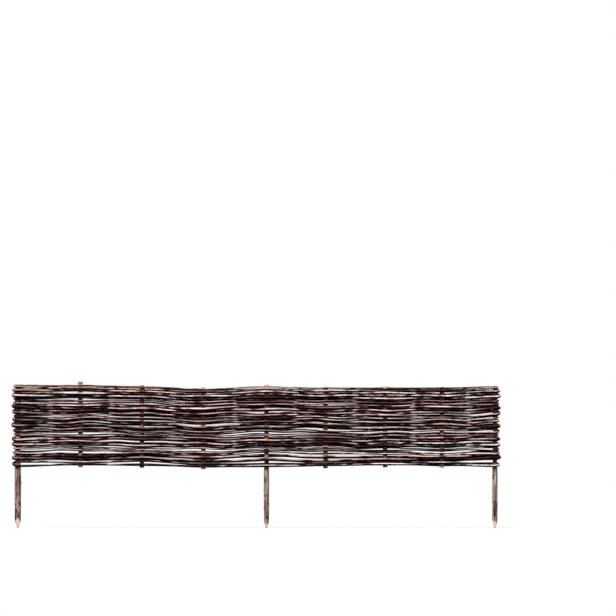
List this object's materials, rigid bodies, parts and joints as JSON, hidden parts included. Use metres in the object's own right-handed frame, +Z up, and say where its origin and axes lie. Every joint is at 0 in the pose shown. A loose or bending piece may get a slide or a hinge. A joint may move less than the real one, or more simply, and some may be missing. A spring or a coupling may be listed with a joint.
{
  "type": "woven willow hurdle",
  "caption": "Low woven fence panel: thin willow rods woven in and out of upright stakes, with pointed legs to push into the ground.",
  "frame": {"origin": "middle post's axis at the ground line, which is the lowest edge of the weave", "axes": "+X along the panel to the right as seen from the front, +Y through it to the back, +Z up the posts"},
  "size_m": [1.2005, 0.0272, 0.3605],
  "materials": {
    "stake_bark": "rough bark",
    "willow_bark": "satin bark"
  },
  "bodies": {
    "root": {"left_post": "stake_bark", "middle_post": "stake_bark", "right_post": "stake_bark", "short_stake_1": "stake_bark", "short_stake_2": "stake_bark", "short_stake_3": "stake_bark", "short_stake_4": "stake_bark", "short_stake_5": "stake_bark", "short_stake_6": "stake_bark", "left_weaver_01": "willow_bark", "left_weaver_02": "willow_bark", "left_weaver_03": "willow_bark", "left_weaver_04": "willow_bark", "left_weaver_05": "willow_bark", "left_weaver_06": "willow_bark", "left_weaver_07": "willow_bark", "left_weaver_08": "willow_bark", "left_weaver_09": "willow_bark", "left_weaver_10": "willow_bark", "left_weaver_11": "willow_bark", "left_weaver_12": "willow_bark", "left_weaver_13": "willow_bark", "left_weaver_14": "willow_bark", "left_weaver_15": "willow_bark", "left_weaver_16": "willow_bark", "left_weaver_17": "willow_bark", "left_weaver_18": "willow_bark", "right_weaver_01": "willow_bark", "right_weaver_02": "willow_bark", "right_weaver_03": "willow_bark", "right_weaver_04": "willow_bark", "right_weaver_05": "willow_bark", "right_weaver_06": "willow_bark", "right_weaver_07": "willow_bark", "right_weaver_08": "willow_bark", "right_weaver_09": "willow_bark", "right_weaver_10": "willow_bark", "right_weaver_11": "willow_bark", "right_weaver_12": "willow_bark", "right_weaver_13": "willow_bark", "right_weaver_14": "willow_bark", "right_weaver_15": "willow_bark", "right_weaver_16": "willow_bark", "right_weaver_17": "willow_bark", "right_weaver_18": "willow_bark"}
  },
  "joints": []
}
